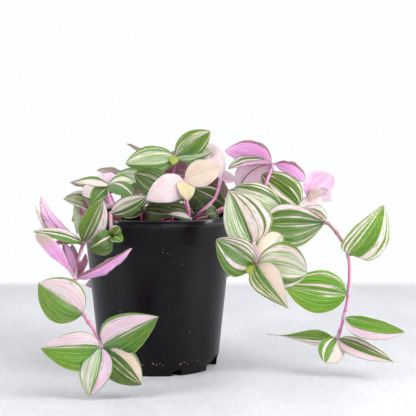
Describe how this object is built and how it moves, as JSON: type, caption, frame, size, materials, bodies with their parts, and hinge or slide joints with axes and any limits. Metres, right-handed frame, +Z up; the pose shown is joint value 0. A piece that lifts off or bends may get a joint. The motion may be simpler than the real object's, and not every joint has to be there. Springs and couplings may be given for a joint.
{
  "type": "potted tradescantia",
  "caption": "Trailing variegated tradescantia with striped green, cream and pink leaves, rooted in a plain black nursery pot.",
  "frame": {"origin": "centre of the pot's underside, on the flat pad that it stands on", "axes": "+Z up; -Y is the front, where the pink leaves show; +X runs towards the longest trailing stem"},
  "size_m": [0.2414, 0.1844, 0.1644],
  "materials": {
    "pot_plastic": "black moulded plastic with a soft satin sheen",
    "potting_mix": "dark crumbly peat and bark",
    "foliage": "smooth fleshy leaves with a soft gloss, striped green, cream and pink"
  },
  "bodies": {
    "root": {"pot": "pot_plastic", "potting_mix": "potting_mix", "right_trailer": "foliage", "front_right": "foliage", "top_right": "foliage", "right_back": "foliage", "top": "foliage", "blush": "foliage", "blush_back": "foliage", "left_crown": "foliage", "centre_left": "foliage", "left_rim": "foliage", "left_side": "foliage", "left_trailer": "foliage", "back_left_trailer": "foliage", "back_right_trailer": "foliage", "left_back": "foliage", "middle_back": "foliage", "middle_right": "foliage", "low_front": "foliage", "low_right": "foliage"}
  },
  "joints": []
}
